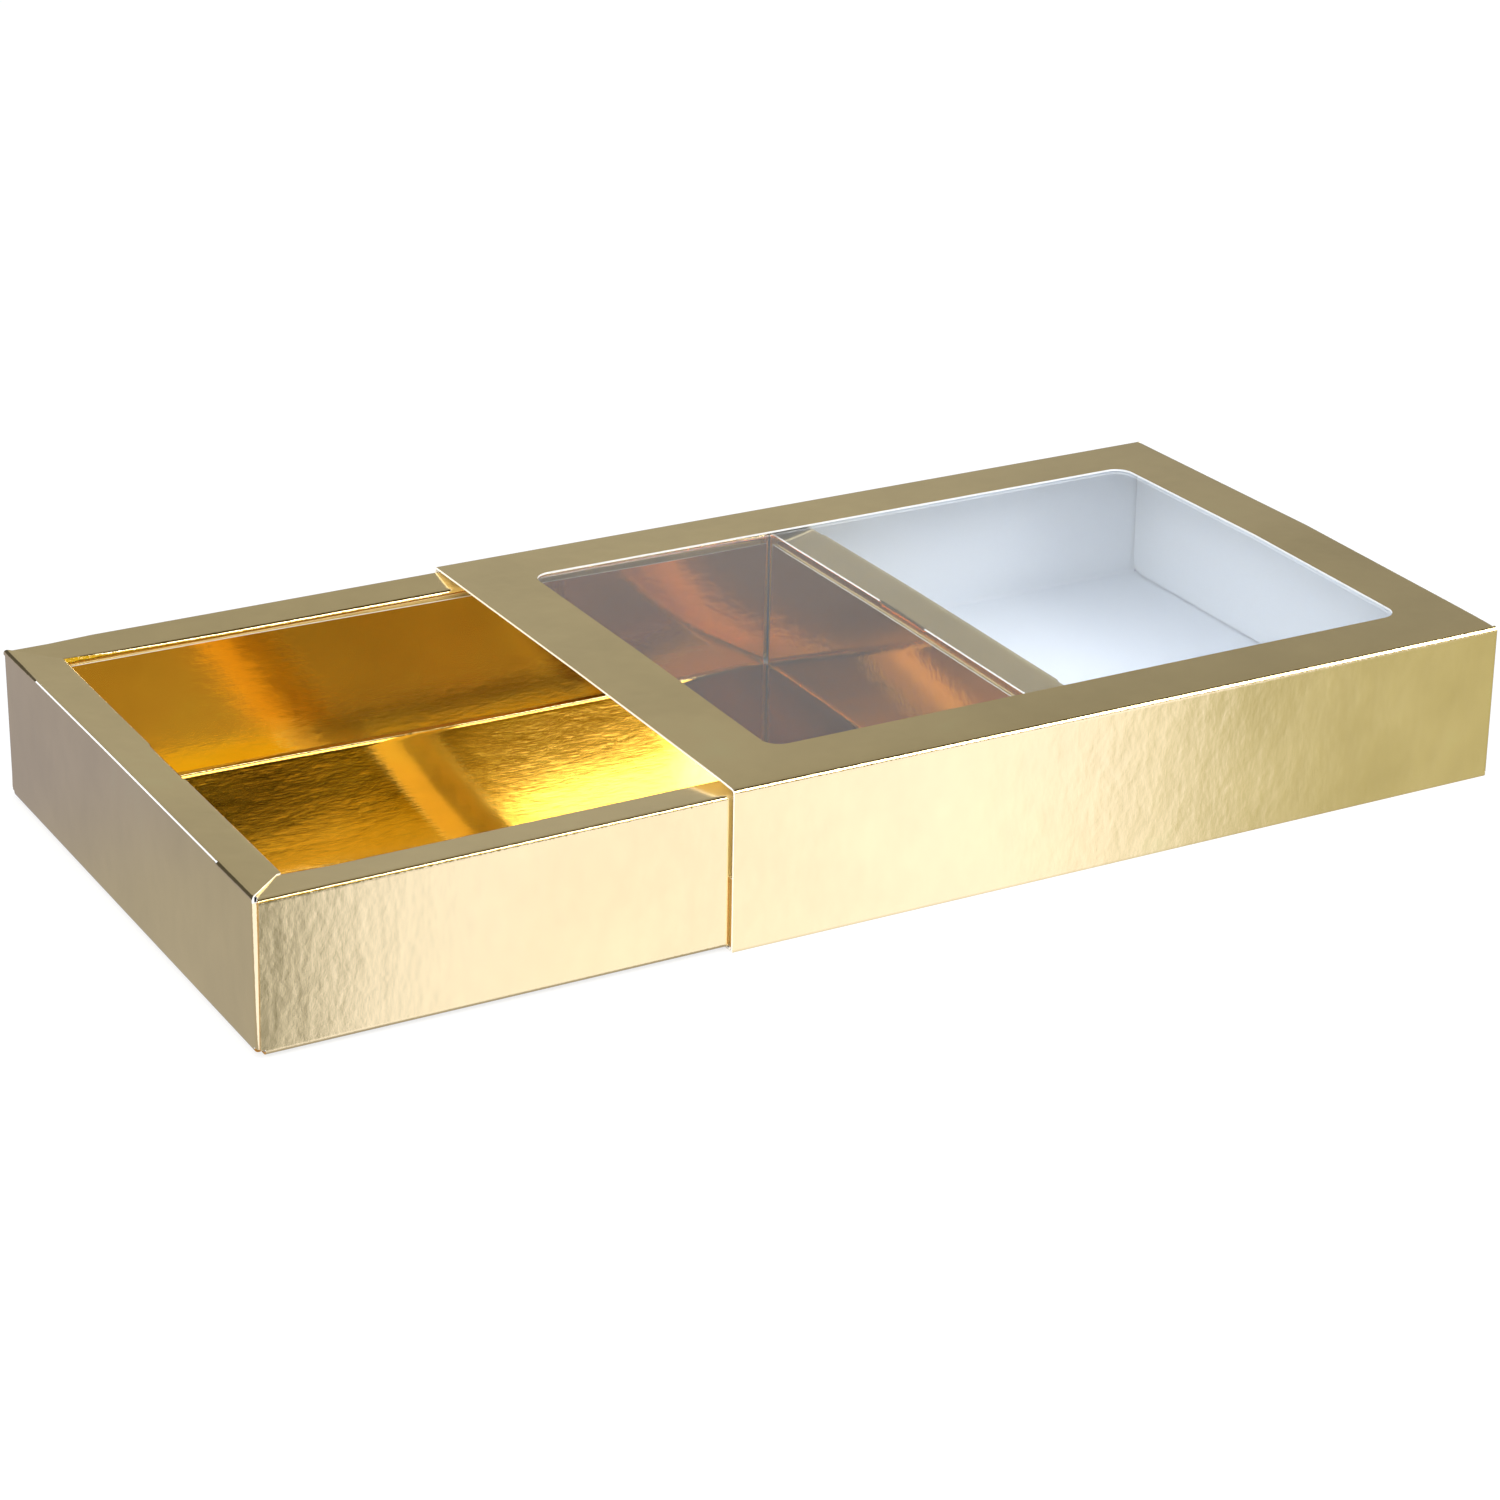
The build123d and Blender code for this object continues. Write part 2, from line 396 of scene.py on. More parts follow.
# %% The foil's surface as a node group
def foil_group():
    """Node group: uneven gloss, tone and relief of foil on paper."""
    inputs = {
        "Foil": "Color", "Roughness": "Float", "Peel": "Float", "Buckle": "Float", "Scratches": "Float",
        "Grain": "Vector",
    }
    outputs = {"Color": "Color", "Roughness": "Float", "Height": "Float"}
    tree, into, out, place = new_group("foil_on_paper", inputs, outputs)
    calc, both, _ = makers(tree)

    def noise(scale, detail, stretch=None, turn=0.0):
        """A noise over the piece, stretched by the material's own grain where no stretch is given."""
        mapping = tree.nodes.new("ShaderNodeMapping")
        if stretch is None:
            tree.links.new(into["Grain"], mapping.inputs["Scale"])
        else:
            mapping.inputs["Scale"].default_value = stretch
        mapping.inputs["Rotation"].default_value = (0, turn, turn)
        tree.links.new(place, mapping.inputs["Vector"])
        return noise_over(tree, mapping.outputs["Vector"], scale, detail)

    peel = noise(scale=1000, detail=2)
    buckle = noise(scale=330, detail=1)
    patch = noise(scale=45, detail=4, stretch=(1, 1, 1))
    lines = noise(scale=140, detail=2, stretch=(1, 30, 30), turn=0.5)
    scratch = calc("SMOOTH_MIN", lines, 0.42)
    height = calc("ADD", both(peel, into["Peel"]), both(buckle, into["Buckle"]))
    height = calc("ADD", height, both(scratch, into["Scratches"]))
    dullness = calc("ADD", both(patch, 0.6), 0.7)
    shade = calc("ADD", calc("ADD", both(patch, 0.24), both(buckle, 0.07)), 0.845)
    tree.links.new(shaded(tree, into["Foil"], shade), out["Color"])
    tree.links.new(both(dullness, into["Roughness"]), out["Roughness"])
    tree.links.new(height, out["Height"])
    return tree


foil_on_paper = foil_group()


def foil(name, color, roughness, peel, buckle, scratches, grain):
    """A foil material. Peel, buckle and scratches are heights of the relief in millimetres."""
    values = {
        "Foil": (*color, 1), "Roughness": roughness, "Peel": peel, "Buckle": buckle,
        "Scratches": scratches, "Grain": grain,
    }
    material, shader = surface(name, foil_on_paper, values, 1.0)
    shader.inputs["Metallic"].default_value = 1.0
    return material


carton_foil = {
    "color": (0.97, 0.77, 0.40), "roughness": 0.13, "peel": 0.007, "buckle": 0.014,
    "scratches": 0.002, "grain": (0.85, 0.85, 0.55),
}
sleeve_gold = foil("sleeve gold foil", **carton_foil)
tray_gold = foil("tray gold foil", **carton_foil)
liner_gold = foil(
    "liner gold foil", color=(1.0, 0.75, 0.27), roughness=0.07, peel=0.007, buckle=0.008,
    scratches=0.003, grain=(0.5, 1.4, 1.0),
)
creased_gold = foil(
    "creased gold foil", color=(0.97, 0.77, 0.42), roughness=0.14, peel=0.05, buckle=0.014,
    scratches=0.003, grain=(1, 1, 1),
)
print("foil materials", sleeve_gold.name, tray_gold.name, liner_gold.name, creased_gold.name)

# %% [markdown]
# The back of the board is uncoated white paper, and a cut edge shows its pressed fibres. Both are rough
# and pale, with a fine fibre relief and a faint change of tone. Dried glue is made the same way. The brown
# one is a painted shade for cut edges in narrow gaps between gold faces, in place of the light that the
# gold colours there.

# %% Paper, cut edges and glue
def fibre_group():
    """Node group: the tone and relief of pressed paper fibres."""
    outputs = {"Color": "Color", "Height": "Float"}
    tree, into, out, place = new_group("paper_fibres", {"Paper": "Color"}, outputs)
    calc, both, _ = makers(tree)
    fibre = noise_over(tree, place, scale=900, detail=5)
    tone = calc("ADD", both(fibre, 0.08), 0.95)
    tree.links.new(shaded(tree, into["Paper"], tone), out["Color"])
    tree.links.new(fibre, out["Height"])
    return tree


paper_fibres = fibre_group()


def paper(name, color, roughness, relief_height):
    """Rough paper board with fibres, whose relief is this high in millimetres."""
    material, shader = surface(name, paper_fibres, {"Paper": (*color, 1)}, relief_height)
    shader.inputs["Roughness"].default_value = roughness
    return material


white_back = paper("white board back", (0.84, 0.87, 0.91), 0.7, 0.02)
cut_edge = paper("cut board edge", (0.88, 0.87, 0.84), 0.8, 0.03)
# Painted shade: brown paper that stands for the gold-coloured light a cut edge in a narrow gold gap gets.
painted_gap_shade = paper("cut edge in painted gold-lit shade", (0.42, 0.20, 0.03), 0.6, 0.03)
liner_edge = paper("cut liner edge", (0.58, 0.54, 0.46), 0.8, 0.03)
board_skins = [white_back, cut_edge, creased_gold, white_back, cut_edge]
glue = paper("dried carton glue", (0.9, 0.88, 0.8), 0.4, 0.02)
print("paper materials", white_back.name, cut_edge.name, painted_gap_shade.name, liner_edge.name, glue.name)

# %% [markdown]
# The window is thin clear plastic, a Principled shader with full transmission. A soft noise makes its
# gloss uneven, and a very small share of white dust lies over it. So thin a film casts no shadow that
# shows, so shadow rays pass straight through.

# %% The clear film
def clear_film():
    """Thin clear film, with a little haze and dust."""
    material, tree = new_material("clear film")
    _, both, _ = makers(tree)
    shader = tree.nodes["Principled BSDF"]
    shader.inputs["Base Color"].default_value = (0.95, 0.97, 0.99, 1)
    shader.inputs["Transmission Weight"].default_value = 1.0
    shader.inputs["IOR"].default_value = 1.5
    place = tree.nodes.new("ShaderNodeTexCoord")
    haze = noise_over(tree, place.outputs["Object"], scale=60, detail=3)
    most_haze = 0.04
    tree.links.new(both(haze, most_haze), shader.inputs["Roughness"])
    dust = tree.nodes.new("ShaderNodeBsdfDiffuse")
    dust.inputs["Color"].default_value = (0.80, 0.88, 1.0, 1)
    dust_share = 0.015
    veil = blend(tree, dust_share, shader.outputs["BSDF"], dust.outputs["BSDF"])
    clear = tree.nodes.new("ShaderNodeBsdfTransparent")
    rays = tree.nodes.new("ShaderNodeLightPath")
    seen = blend(tree, rays.outputs["Is Shadow Ray"], veil, clear.outputs["BSDF"])
    tree.links.new(seen, tree.nodes["Material Output"].inputs["Surface"])
    return material


film = clear_film()
print("film material", film.name)

# %% [markdown]
# The sleeve is one strip round four sides. Its floor turns up into a seam flap, glued behind the near
# wall. The top panel is crowned: at the closed end it rises like a low tent to its middle, at the mouth it
# is almost straight. The same lift moves the film and its glue, so they stay in contact with the panel.

# %% The crown of the sleeve's top panel
mouth = sleeve_low.x
closed = sleeve_high.x
near = sleeve_low.y
far = sleeve_high.y
end_lean = 0.5
lean_length = 4.0


def top_lift(x, y):
    """How far the top panel stands above or below the walls' nominal height."""
    along = min(max((x - mouth) / (closed - mouth), 0), 1)
    across = (y - near) / (far - near)
    near_fold = -0.15 * along
    far_fold = -0.55 - 0.25 * along
    crown = 0.25 + 0.55 * along
    spring = 0.22 * (1 - math.exp(-(y - near) / 3.0)) * (1 - across)
    return near_fold + (far_fold - near_fold) * across + crown * (1 - abs(2 * across - 1)) + spring


def crown_sleeve(point):
    """The lift grows from nothing at the floor to the top panel's own. The closed end leans in."""
    height = point.z / wall_height
    up = top_lift(point.x, point.y) * height
    lean = -end_lean * max(point.x - closed + lean_length, 0) / lean_length * height
    return Vector((lean, 0, min(up, sleeve_high.z - point.z)))


print("crown at the closed end", round(top_lift(closed, 0), 2), "mm")

# %% The sleeve's tube, with its window
window_end_border = 14.0
window_side_border = 12.7
window_corner = 3.5
seam_flap_height = 13.5
seam = near + board + layer_gap
tube_end = closed - 2 * (board + layer_gap) - fold - hold
near_foot = 0.8
section = [
    (near, 0), (near, near_foot), (near, wall_height), (far, wall_height), (far, 0), (seam, 0),
    (seam, seam_flap_height),
]
sleeve_bm = strip(section, "X", mouth, tube_end, folds=(2, 3, 4, 5))
window_x = (mouth + window_end_border, closed - window_end_border)
window_y = (near + window_side_border, far - window_side_border)
inner_x = (window_x[0] + window_corner, window_x[1] - window_corner)
inner_y = (window_y[0] + window_corner, window_y[1] - window_corner)
cut_at(sleeve_bm, "X", spread(mouth, window_x[0], 3)[1:] + spread(*inner_x, 14))
cut_at(sleeve_bm, "X", spread(window_x[1], tube_end, 3)[:-1])
cut_at(sleeve_bm, "Y", spread(near + 3, window_y[0], 3) + spread(*inner_y, 12))
cut_at(sleeve_bm, "Y", spread(window_y[1], far - 3, 3))


def in_window(point, margin=0.0):
    """Whether a point near the top lies inside the window's rectangle, or within this margin round it."""
    inside_x = window_x[0] - margin < point.x < window_x[1] + margin
    inside_y = window_y[0] - margin < point.y < window_y[1] + margin
    return inside_x and inside_y and point.z > wall_height / 2


remove(sleeve_bm, in_window)


def panel_vert(bm, x, y):
    """The point of the top panel at this place."""
    return min(bm.verts, key=lambda vert: (vert.co - Vector((x, y, wall_height))).length)


def fill_corner(bm, corner_x, corner_y, side_x, side_y):
    """Round one corner of the window: an arc is spun between its two straight edges, and filled."""
    centre = Vector((corner_x + side_x * window_corner, corner_y + side_y * window_corner, wall_height))
    corner = panel_vert(bm, corner_x, corner_y)
    start = panel_vert(bm, centre.x, corner_y)
    end = panel_vert(bm, corner_x, centre.y)
    arc = [start]
    steps = 8
    turn = math.radians(90) / steps * (-side_x * side_y)
    for step in range(1, steps):
        arm = Matrix.Rotation(turn * step, 3, "Z") @ (start.co - centre)
        arc.append(bm.verts.new(centre + arm))
    bm.faces.new([corner, *arc, end])


for x, side_x in zip(window_x, (1, -1)):
    for y, side_y in zip(window_y, (1, -1)):
        fill_corner(sleeve_bm, x, y, side_x, side_y)
print("tube", len(sleeve_bm.faces), "faces")

# %% [markdown]
# The closed end is three layers. The top panel's flap folds down first, the two dust flaps fold in from
# the walls over it, and the floor's flap folds up outside. Each is an extrusion of the tube's own edge, so
# the board runs on without a break, and its first row is bevelled round as any fold.

# %% The flaps of the closed end
dust_flap_length = 28.0
flap_corner = 3.0
end_flap_gap = 0.7
step = board + layer_gap
fold_x = {"top": closed - 2 * step, "side": closed - step, "floor": closed}


def at_end(point):
    """Whether a point lies on the tube's raw end."""
    return at(point.x, tube_end)


def end_row(which):
    """The raw end's edges on one panel, without the rounded corners between the panels."""
    tests = {
        "top": lambda p: at(p.z, wall_height) and near + fold < p.y < far - fold,
        "floor": lambda p: at(p.z, 0) and seam + fold < p.y < far - fold,
        "near": lambda p: at(p.y, near) and near_foot < p.z < wall_height - fold,
        "far": lambda p: at(p.y, far) and fold < p.z < wall_height - fold,
    }
    return rim_edges(sleeve_bm, lambda p: at_end(p) and tests[which](p))


def round_corners(row, ends):
    """Round the two free corners of a flap, whose last row of edges runs along Y between these ends."""
    for vert in {vert for edge in row for vert in edge.verts}:
        inset = min(vert.co.y - ends[0], ends[1] - vert.co.y)
        if inset < flap_corner:
            rise = flap_corner - math.sqrt(flap_corner ** 2 - (flap_corner - inset) ** 2)
            vert.co.z += rise if vert.co.z < wall_height / 2 else -rise


creases = []
flap_rows = {
    "top": (fold_x["top"], Vector((0, 0, -(wall_height - end_flap_gap)))),
    "floor": (fold_x["floor"], Vector((0, 0, wall_height - fold))),
    "near": (fold_x["side"], Vector((0, dust_flap_length, 0))),
    "far": (fold_x["side"], Vector((0, -dust_flap_length, 0))),
}
rows = {which: end_row(which) for which in flap_rows}
for which, (crease_x, drop) in flap_rows.items():
    ahead = unit("X", fold + hold)
    bent = drop.normalized() * (fold + hold)
    out = unit("X", crease_x - tube_end)
    moves = [ahead, bent, drop - bent]
    if out.length > fold + hold + 0.01:
        moves.insert(0, out - ahead)
    made = grow(sleeve_bm, rows[which], *moves)
    creases += made[-3]
    if which in ("top", "floor"):
        sides = [vert.co.y for edge in made[-1] for vert in edge.verts]
        round_corners(made[-1], (min(sides), max(sides)))
spare = rim_edges(sleeve_bm, at_end)
grow(sleeve_bm, spare, unit("X", fold_x["top"] - tube_end))
round_folds(sleeve_bm, creases)
face_out(sleeve_bm, lambda p: at(p.z, wall_height) and p.x < 0, Vector((0, 0, 1)))
bend(sleeve_bm, crown_sleeve)
sleeve = piece(
    "folded_sleeve", sleeve_bm, [sleeve_gold, *board_skins, painted_gap_shade], "sleeve",
    ["sleeve_carton"],
)

# %% [markdown]
# The film lies behind the window with a frame of glue round it. Both are flat sheets with the panel's
# own crown, the film a real 0.15 mm thick, so that it mirrors and refracts as film does.

# %% The window film and its glue
film_thickness = film_high.z - film_low.z
film_corner = 2.0


def flat_sheet(low, high, z, corner):
    """A flat sheet with rounded corners, cut into a grid that can follow the crown."""
    bm = rectangle((low.x, high.x), (low.y, high.y), z)
    bmesh.ops.bevel(
        bm, geom=bm.verts[:], offset=corner, offset_type="OFFSET", segments=5, profile=0.5,
        affect="VERTICES", clamp_overlap=False, material=-1,
    )
    cut_at(bm, "X", spread(low.x + corner, high.x - corner, 14))
    cut_at(bm, "Y", spread(low.y + corner, high.y - corner, 14))
    return bm


def crown_with_panel(point):
    """Layers under the panel take its whole lift."""
    return Vector((0, 0, top_lift(point.x, point.y)))


film_top = wall_height - board - layer_gap
film_bm = flat_sheet(film_low, film_high, film_top, film_corner)
face_out(film_bm, lambda p: True, Vector((0, 0, 1)))
bend(film_bm, crown_with_panel)
piece("window_sheet", film_bm, [film], "sleeve", ["window_film"], film_thickness)

glue_low, glue_high = box_mm("window_film_glue")
glue_bm = flat_sheet(glue_low, glue_high, wall_height - board, film_corner)
glue_hole = 2.0
cut_at(glue_bm, "X", [window_x[0] - glue_hole, window_x[1] + glue_hole])
cut_at(glue_bm, "Y", [window_y[0] - glue_hole, window_y[1] + glue_hole])
remove(glue_bm, lambda p: in_window(p, glue_hole))
face_out(glue_bm, lambda p: True, Vector((0, 0, 1)))
bend(glue_bm, crown_with_panel)
piece(
    "window_glue_frame", glue_bm, [glue], "sleeve", ["window_film_glue"], layer_gap,
)
for name in ("sleeve_seam_glue", "sleeve_end_glue", "tray_corner_glue", "tray_foot_glue"):
    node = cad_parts[name]
    node.data.materials.clear()
    node.data.materials.append(glue)

# %% [markdown]
# The tray is one blank too. Along its length the sheet spirals: foot, inner wall, ledge, outer wall,
# floor, and the same back on the other side. The ends fold up over it. Their ledges lie on the long ones
# with a mitred corner, and their walls turn round the corner into flaps behind the long walls.

# %% The tray's long sides and floor
ledge = 8.4
foot = 5.0
corner_flap = 21.0
mitre_setback = 0.5
seam_inset = 1.25
wall_inset = step + board
left, right = tray_low.x, tray_high.x
front, back = tray_low.y, tray_high.y
base = tray_low.z
end_top = tray_high.z
long_top = end_top - step
foot_top = base + step
corner_reach = 1.35
corner_y = (front + mitre_setback + corner_reach, back - mitre_setback - corner_reach)
outer_cuts = (-41.6, 41.2)
inner_bridge = (-8.6, 7.2)
blend_width = 0.4
y_stations = sorted(
    [corner_y[0], corner_y[1]]
    + [place + shift for place in outer_cuts + inner_bridge for shift in (-blend_width, blend_width)]
    + spread(-32, 32, 4) + [-50, 50]
)


def tray_sides():
    """Floor, long walls, long ledges, inner walls and feet, in one strip."""
    spiral = [
        (front + ledge - foot, foot_top), (front + ledge, foot_top), (front + ledge, long_top),
        (front, long_top), (front, base), (back, base), (back, long_top), (back - ledge, long_top),
        (back - ledge, foot_top), (back - ledge + foot, foot_top),
    ]
    bm = strip(spiral, "X", left + seam_inset, right - seam_inset, folds=range(1, 9))
    end_zone = ledge + layer_gap
    between = spread(left + 2 * ledge, right - 2 * ledge, 12)
    cut_at(bm, "X", [left + end_zone, *between, right - end_zone])
    cut_at(bm, "Y", y_stations)

    def under_end_ledge(point):
        """Inner walls and feet stop short of the end ledges."""
        beyond = point.x < left + end_zone or point.x > right - end_zone
        inside = point.z < long_top - fold - hold + 0.01 and point.z > base + 0.2
        off_wall = front + 1.0 < point.y < back - 1.0
        return beyond and inside and off_wall

    remove(bm, under_end_ledge)

    def on_wall(point):
        """Outer walls and their folds, which reach past the floor's seam into the corners."""
        outer = point.y < front + fold + 0.05 or point.y > back - fold - 0.05
        return outer and point.z > base + fold + hold

    for end, side in ((left + seam_inset, -1), (right - seam_inset, 1)):
        row = rim_edges(bm, lambda p: at(p.x, end) and on_wall(p))
        grow(bm, row, unit("X", side * (seam_inset - wall_inset)))
    return bm


tray_bm = tray_sides()
print("tray sides", len(tray_bm.faces), "faces")

# %% The tray's two ends
def tray_end(side):
    """One end: wall, mitred ledge, inner wall and foot, with its two corner flaps. side is -1 or 1."""
    outside = left if side < 0 else right
    inward = -side
    seam_x = outside + inward * seam_inset
    line = [
        (seam_x, base), (outside, base), (outside, end_top), (outside + inward * ledge, end_top),
        (outside + inward * ledge, foot_top), (outside + inward * (ledge - foot), foot_top),
    ]
    bm = strip(line, "Y", front, back, folds=(1, 2, 3, 4))
    cut_at(bm, "Y", y_stations)
    for wall_y, outward in ((front + mitre_setback, -1), (back - mitre_setback, 1)):
        cut(bm, Vector((outside, wall_y, 0)), Vector((inward, outward, 0)).normalized(), clear=True)
    low_row, high_row = base + fold + hold, end_top - fold - hold

    def beside_corner(point):
        """The wall's ends, which turn round the corner instead."""
        outer = abs(point.x - outside) < seam_inset + 0.05
        beyond = point.y < corner_y[0] or point.y > corner_y[1]
        return outer and beyond and point.z < high_row - 0.01

    remove(bm, beside_corner)
    creases = []
    for line_y, turn in ((corner_y[0], -1), (corner_y[1], 1)):
        corner = (front if turn < 0 else back) - turn * mitre_setback
        row = rim_edges(
            bm, lambda p: at(p.y, line_y) and at(p.x, outside) and low_row < p.z < high_row
        )
        ahead = unit("Y", turn * (fold + hold))
        moves = [
            unit("Y", corner - line_y) - ahead, ahead, unit("X", inward * (fold + hold)),
            unit("X", inward * (corner_flap - fold - hold)),
        ]
        creases += grow(bm, row, *moves)[2]
    round_folds(bm, creases)
    return bm


for side in (-1, 1):
    join(tray_bm, tray_end(side))
face_out(tray_bm, lambda p: at(p.y, front) and p.z > wall_height / 3, Vector((0, -1, 0)))
print("tray", len(tray_bm.faces), "faces")

# %% [markdown]
# Some creases of a carton are only pressed and bend round. Others are cut half through, so they fold
# sharp, and the white inside of the board shows as a hairline. On the end ledges cut stretches alternate
# with short bridges of whole board. A cut stretch is the rounded fold drawn together towards its corner,
# and the middle of its bend gets the material of the cut edge.

# %% Cut creases on the end ledges
cut_share = 0.35
bare_skin = crease_skin + 2


def soft_step(value, low, high):
    """0 below low, 1 above high, smooth between."""
    share = min(max((value - low) / (high - low), 0), 1)
    return share * share * (3 - 2 * share)


def sharpen(bm, line_x, line_z, stretches, bare=True):
    """Draw a fold along Y together over the stretches, and bare the white board at its middle."""
    for vert in bm.verts:
        away = Vector((vert.co.x - line_x, 0, vert.co.z - line_z))
        if max(abs(away.x), abs(away.z)) > fold + 0.01:
            continue
        inside = max(
            soft_step(vert.co.y, low - blend_width, low + blend_width)
            * (1 - soft_step(vert.co.y, high - blend_width, high + blend_width))
            for low, high in stretches
        )
        vert.co -= away * (1 - cut_share) * inside
    for face in bm.faces:
        centre = face.calc_center_median()
        close = abs(centre.x - line_x) < 0.25 and abs(centre.z - line_z) < 0.25
        slanted = 0.35 < abs(face.normal.x) < 0.94
        if bare and close and slanted and any(low < centre.y < high for low, high in stretches):
            face.material_index = bare_skin


tray_bm.normal_update()
ledge_ends = (front + mitre_setback + ledge, back - mitre_setback - ledge)
inner_stretches = [(ledge_ends[0] - 2, inner_bridge[0]), (inner_bridge[1], ledge_ends[1] + 2)]
sharpen(tray_bm, left, end_top, [outer_cuts])
sharpen(tray_bm, right, end_top, [outer_cuts])
sharpen(tray_bm, left + ledge, end_top, inner_stretches, bare=False)
sharpen(tray_bm, right - ledge, end_top, inner_stretches)


ledge_slope = 0.85
corner_slope = 0.35
corner_radius = 25.0
end_slant = 0.6


def settle_tray(point):
    """Ledges slope down to the well, corners sag, and walls end at a slant. The right end leans in."""
    from_end = min(point.x - left, right - point.x)
    inward = min(from_end, point.y - front, back - point.y, ledge)
    from_far_left = math.hypot(point.x - left, point.y - back)
    in_corner = math.exp(-((from_far_left / corner_radius) ** 2))
    slope = ledge_slope - (ledge_slope - corner_slope) * in_corner
    height = point.z / long_top
    outside = max(mouth - point.x, 0) / (mouth - left)
    across = (point.y - front) / (back - front)
    at_far_corner = (1 - soft_step(from_end, ledge, 2 * ledge)) * soft_step(across, 0.5, 0.95)
    sag = 0.5 * outside * (1 - across) + (0.25 if point.x < mouth else 0.5) * at_far_corner
    lean = 0.6 * height * soft_step(point.x, right - 4, right - 1)
    down = slope * max(inward, 0) / ledge * height + sag * height
    on_end = from_end < seam_inset - 0.01
    on_wall = min(abs(point.y - front), abs(point.y - back)) < 0.01 and point.z < long_top - fold
    slant = end_slant * (1 - height) if on_end and on_wall else 0
    spread_out = 0.12 * outside ** 6 * (1 - height) * across
    return Vector(((-slant if point.x < mouth else slant) - lean, spread_out, -down))


bend(tray_bm, settle_tray)
tray_skins = [tray_gold, *board_skins, painted_gap_shade]
tray = piece("folded_tray", tray_bm, tray_skins, "tray", ["tray_carton"])

# %% [markdown]
# Where a wall ends in a narrow gap between gold faces, its cut edge would get only light that the gold has
# coloured. That light is painted on as a shade: the long walls' ends in the tray's corners, the cut edges
# at the foot of each corner, and the seam flap's end at the mouth get a painted orange-brown shade, so they
# show as thin orange-brown lines, not as white ones.

# %% Painted shade on cut edges in narrow gold gaps
cut_skins = (2, bare_skin)


def paint_edge_shade(made, inside):
    """Give the cut edges of a finished piece that pass a test, in millimetres, its last material: a painted
    shade.
    """
    chosen = [
        face for face in made.data.polygons
        if face.material_index in cut_skins and inside(Vector(face.center) / mm)
    ]
    for face in chosen:
        face.material_index = len(made.data.materials) - 1
    print("shaded cut edges of", made.name, len(chosen), "faces")


def in_corner_gap(centre):
    """Whether a cut edge belongs to a long wall's end in a corner of the tray, or lies at the foot of a
    corner.
    """
    from_end = min(centre.x - left, right - centre.x)
    from_side = min(centre.y - front, back - centre.y)
    in_gap = 0 < from_end < 1.0 and from_side < 0.45
    under = max(from_end, from_side) < 2.0 and centre.z < base + fold
    return (in_gap or under) and centre.z < long_top - fold


def at_seam_flap(centre):
    """Whether a cut edge belongs to the seam flap's end at the mouth."""
    behind_wall = near + board < centre.y < near + 3 * board
    return centre.x < mouth + 0.1 and behind_wall and fold < centre.z < seam_flap_height


# Painted shade on the cut edges in the tray's corner gaps and at the seam flap's end.
paint_edge_shade(tray, in_corner_gap)
paint_edge_shade(sleeve, at_seam_flap)

# %% [markdown]
# The liner is a loose blank: a floor and four walls that only stand against the hollow walls, gold on
# the inside. Its corners aren't glued, so a dark slit stays in each, and its walls lean a little.

# %% The liner
liner_fold = 0.25
first_row = 1.0
corner_inset = 0.7
well_x = (liner_low.x + board, liner_high.x - board)
well_y = (liner_low.y + board, liner_high.y - board)
floor_z = liner_low.z + board
rim_z = liner_high.z


def liner_sheet():
    """Floor and four walls, with open corners."""
    bm = rectangle(well_x, well_y, floor_z)
    cut_at(bm, "X", spread(well_x[0] + corner_inset, well_x[1] - corner_inset, 24))
    cut_at(bm, "Y", spread(well_y[0] + corner_inset, well_y[1] - corner_inset, 12))
    creases = []
    rise = [unit("Z", first_row)] + [unit("Z", (rim_z - floor_z - first_row) / 4)] * 4
    for axis, ends in (("X", well_x), ("Y", well_y)):
        other = 1 - AXES[axis]
        limits = (well_y, well_x)[AXES[axis]]
        for end in ends:
            row = rim_edges(
                bm, lambda p: at(p[AXES[axis]], end) and at(p.z, floor_z)
                and limits[0] + corner_inset < p[other] < limits[1] - corner_inset
            )
            creases += grow(bm, row, *rise)[0]
    round_folds(bm, creases, liner_fold, 4)
    return bm


liner_bm = liner_sheet()
face_out(liner_bm, lambda p: at(p.z, floor_z), Vector((0, 0, 1)))


def settle_liner(point):
    """The far wall bows: its foot stands in from its rim, which itself stands off at the right."""
    height = (point.z - floor_z) / (rim_z - floor_z)
    along = (point.x - well_x[0]) / (well_x[1] - well_x[0])
    across = (point.y - well_y[0]) / (well_y[1] - well_y[0])
    rim_in = 1.2 * soft_step(along, 0.15, 0.75) - 0.5 * soft_step(along, 0.8, 1.0)
    foot_in = 1.05 * max(1 - height, 0) ** 1.5
    shift_y = -(rim_in + foot_in) * soft_step(across, 0.8, 1.0)
    shift_x = -0.9 * (1 - height) * soft_step(along, 0.9, 1.0)
    foot_up = 0.6 * (1 - soft_step(along, 0.0, 0.6)) * soft_step(across, 0.3, 1.0) * (1 - height)
    rim_level = 0.3 * (1 - along) - 0.5 * soft_step(along, 0.6, 1.0)
    rim_up = rim_level * soft_step(across, 0.5, 1.0) * height
    return Vector((shift_x, shift_y, foot_up + rim_up))


bend(liner_bm, settle_liner)
liner_skins = [liner_gold, white_back, liner_edge, creased_gold, white_back, liner_edge]
piece("gold_liner", liner_bm, liner_skins, "tray", ["liner_carton"])

# %% [markdown]
# Foil shows nothing but its surroundings, so the studio is part of the finish. The camera sees a white
# floor, and paper gets the light of a soft pale sky. Mirrored rays see a studio instead, which is written
# by direction alone: azimuth, 0 at the front and growing to the right, and height over the horizon. Smooth
# bands of these make its walls, lamps and table, so it needs no picture.

